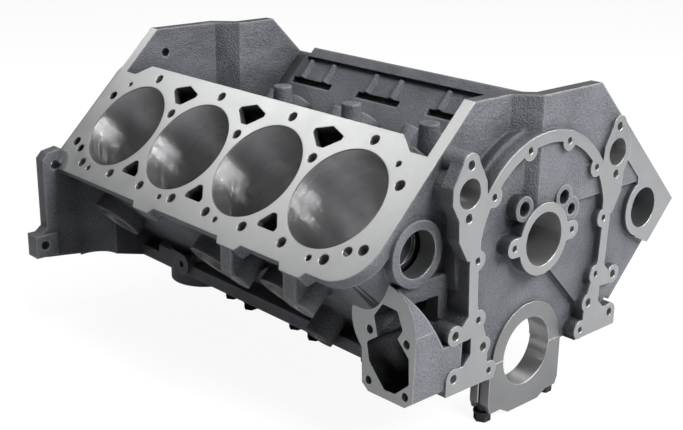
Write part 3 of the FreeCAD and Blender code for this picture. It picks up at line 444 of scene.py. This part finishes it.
def find_drilled_mouths(mesh, flat, normals):
    """Centre, outward direction and radius of each round hole drilled into a flat machined face."""
    places, joined = join_corners(mesh)
    links = follow_rims(mesh, joined, flat)
    mouths, seen = [], set()
    for first in links:
        if first in seen:
            continue
        loop, waiting = [], [first]
        seen.add(first)
        while waiting:
            corner = waiting.pop()
            loop.append(corner)
            for following, _ in links[corner]:
                if following not in seen:
                    seen.add(following)
                    waiting.append(following)
        points = places[loop]
        centre = (points.min(axis=0) + points.max(axis=0)) / 2
        radii = np.linalg.norm(points - centre, axis=1)
        is_round = len(loop) >= FEWEST_RIM_CORNERS and np.ptp(radii) < RIM_SLACK
        is_narrow = radii.max() < WIDEST_DRILLING / 2
        if is_round and is_narrow and centre[1] < LAST_BRIGHT_DRILLING:
            face = links[first][0][1]
            mouths.append((centre, normals[face], radii.mean()))
    return mouths


def dress_casting(casting):
    """Give each face of the casting the finish that its place calls for."""
    mesh = casting.data
    centres, normals = read_polygons(mesh)
    finish_number = {name: number for number, name in enumerate(CASTING_FINISHES)}
    chosen = np.full(len(centres), finish_number["cast"], dtype=np.int32)

    for normal, distance, finish in FLAT_FACES:
        facing = normals @ np.array(normal) > FACING
        level = np.abs(centres @ np.array(normal) - distance) < LEVEL_SLACK
        chosen[facing & level] = finish_number[finish]
    for point, direction, radius, finish in ROUND_FACES:
        on_wall, _ = on_round_wall(centres, normals, point, direction, radius, WALL_SLACK)
        chosen[on_wall] = finish_number[finish]

    flat = (chosen == finish_number["milled"]) | (chosen == finish_number["deck"])
    for centre, normal, radius in find_drilled_mouths(mesh, flat, normals):
        on_wall, along = on_round_wall(centres, normals, centre, normal, radius, DRILLED_WALL_SLACK)
        within = (along < 0) & (along > -DEEPEST_DRILLING)
        chosen[on_wall & within] = finish_number["drilled"]

    # Painted shade: cast faces inside the pump's pocket take the darker copy of the cast finish
    inwards = PUMP_POCKET - centres
    near = (np.abs(inwards) < PUMP_POCKET_REACH).all(axis=1) & (centres[:, 1] > PUMP_POCKET_FRONT)
    enclosing = (inwards * normals).sum(axis=1) > FACING_POCKET * np.linalg.norm(inwards, axis=1)
    chosen[near & enclosing & (chosen == finish_number["cast"])] = finish_number["shaded"]
    paint(mesh, CASTING_FINISHES, chosen)


def dress_cap(cap):
    """A main bearing cap: milled all over, with its half of the crankshaft bore finely bored."""
    centres, normals = read_polygons(cap.data)
    bored, _ = on_round_wall(centres, normals, ORIGIN, REARWARD, CRANK_BORE_RADIUS, WALL_SLACK)
    paint(cap.data, CAP_FINISHES, bored.astype(np.int32))


def dress_bolt(bolt):
    paint(bolt.data, ["bolt"], np.zeros(len(bolt.data.polygons), dtype=np.int32))


for node_name, node in frame["nodes"].items():
    if node_name == "block_casting":
        dress_casting(node)
    elif node_name.endswith("bolt"):
        dress_bolt(node)
    else:
        dress_cap(node)

# The studio: floor and world are white to the eye and plain and dim as light, in metres and watts
FLOOR_SIZE = 14.0
FLOOR_CENTRE = (0.0, 0.26, CAD_BOX[0].z)
FLOOR_PAPER = (0.7, 0.7, 0.7, 1.0)
FLOOR_GLOW = 1.08
FLOOR_GLOW_SHARE = 0.86
AIR_LIGHT = 0.05
AIR_SEEN = 1.0

# The photograph's viewpoint, found from the bore centres and the deck's corners
CAMERA_PLACE = (-0.80304, -0.59939, 0.46212)
CAMERA_RIGHT = Vector((0.73813, -0.67453, 0.01324))
CAMERA_DOWN = Vector((-0.20336, -0.24116, -0.94894))
CAMERA_FORWARD = Vector((0.64328, 0.69775, -0.31518))
SENSOR_WIDTH = 36.0
LENS = 60.69


def lay_floor():
    bpy.ops.mesh.primitive_plane_add(size=FLOOR_SIZE, location=FLOOR_CENTRE)
    floor = bpy.context.object
    floor.name = "studio_floor"
    paper = Finish("floor_paper")
    cover = paper.node("BsdfDiffuse", None, {"Color": FLOOR_PAPER})
    glow = paper.node("Emission", None, {"Color": WHITE, "Strength": FLOOR_GLOW})
    paper.show(paper.node("MixShader", None, {0: paper.seen() * FLOOR_GLOW_SHARE, 1: cover, 2: glow}))
    floor.data.materials.append(paper.owner)


def light_world():
    world = bpy.data.worlds.new("studio_air")
    bpy.context.scene.world = world
    air = Finish("studio_air", world)
    dim = air.node("Background", None, {"Color": WHITE, "Strength": AIR_LIGHT})
    bright = air.node("Background", None, {"Color": WHITE, "Strength": AIR_SEEN})
    air.show(air.node("MixShader", None, {0: air.seen(), 1: dim, 2: bright}))


def hang_lamp(name, place, target, size, watts):
    lamp = bpy.data.lights.new(name, "AREA")
    lamp.shape = "RECTANGLE"
    lamp.size, lamp.size_y = size
    lamp.energy = watts
    item = bpy.data.objects.new(name, lamp)
    bpy.context.scene.collection.objects.link(item)
    item.location = place
    item.rotation_mode = "QUATERNION"
    item.rotation_quaternion = (Vector(target) - Vector(place)).to_track_quat("-Z", "Y")


def aim_camera():
    lens = bpy.data.cameras.new("camera")
    lens.sensor_width, lens.lens = SENSOR_WIDTH, LENS
    lens.clip_start, lens.clip_end = 0.05, 30.0
    camera = bpy.data.objects.new("camera", lens)
    bpy.context.scene.collection.objects.link(camera)
    turn = Matrix((CAMERA_RIGHT, -CAMERA_DOWN, -CAMERA_FORWARD)).transposed()
    camera.matrix_world = Matrix.Translation(CAMERA_PLACE) @ turn.to_4x4()
    bpy.context.scene.camera = camera


lay_floor()
light_world()
hang_lamp("rear_softbox", place=(-0.36, 1.71, 1.54), target=(-0.1, 0.25, 0.2), size=(1.0, 0.8), watts=8.8)
hang_lamp("key_softbox", place=(1.4, -1.1, 1.5), target=(0.0, 0.2, 0.1), size=(1.0, 1.0), watts=44.0)
hang_lamp("front_softbox", place=(0.1, -1.4, 1.25), target=(-0.1, 0.2, 0.15), size=(0.6, 0.6), watts=43.0)
hang_lamp("top_softbox", place=(-0.1, 0.2, 2.0), target=(0.0, 0.26, 0.1), size=(1.1, 1.1), watts=25.0)
aim_camera()

view = bpy.context.scene.view_settings
view.view_transform = "Standard"
